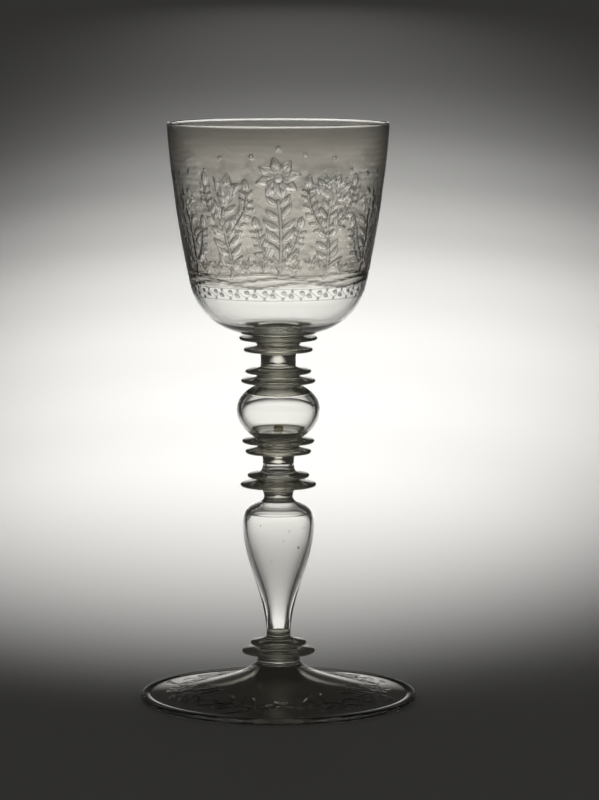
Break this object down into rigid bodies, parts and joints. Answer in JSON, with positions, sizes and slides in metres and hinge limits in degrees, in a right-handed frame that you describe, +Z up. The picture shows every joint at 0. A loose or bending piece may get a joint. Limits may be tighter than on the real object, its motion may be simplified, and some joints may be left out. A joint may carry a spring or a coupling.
{
  "type": "goblet",
  "caption": "Tall blown glass goblet: round-based bucket bowl, stem with hollow knop and hollow baluster between flat discs, wide domed foot with folded edge.",
  "frame": {"origin": "centre of the ring that the foot rests on", "axes": "+Z up along the goblet's axis, -Y towards the viewer of the picture, +X to the right"},
  "size_m": [0.1364, 0.1364, 0.2856],
  "materials": {
    "bowl_glass": "blown and fire polished, wheel engraved with a matted zone outside",
    "stem_glass": "blown and fire polished",
    "merese_glass": "thick tooled glass, fire polished",
    "foot_glass": "blown and fire polished, wheel engraved with a wreath above"
  },
  "bodies": {
    "root": {"bowl": "bowl_glass", "bowl_collar": "merese_glass", "bowl_merese_upper": "merese_glass", "bowl_merese_lower": "merese_glass", "upper_neck": "stem_glass", "knop_top_merese_upper": "merese_glass", "knop_top_merese_lower": "merese_glass", "knop": "stem_glass", "knop_bead": "merese_glass", "knop_base_merese_upper": "merese_glass", "knop_base_merese_lower": "merese_glass", "middle_neck": "stem_glass", "baluster_merese_upper": "merese_glass", "baluster_merese_lower": "merese_glass", "baluster": "stem_glass", "foot_merese_upper": "merese_glass", "foot_merese_lower": "merese_glass", "foot": "foot_glass"}
  },
  "joints": []
}
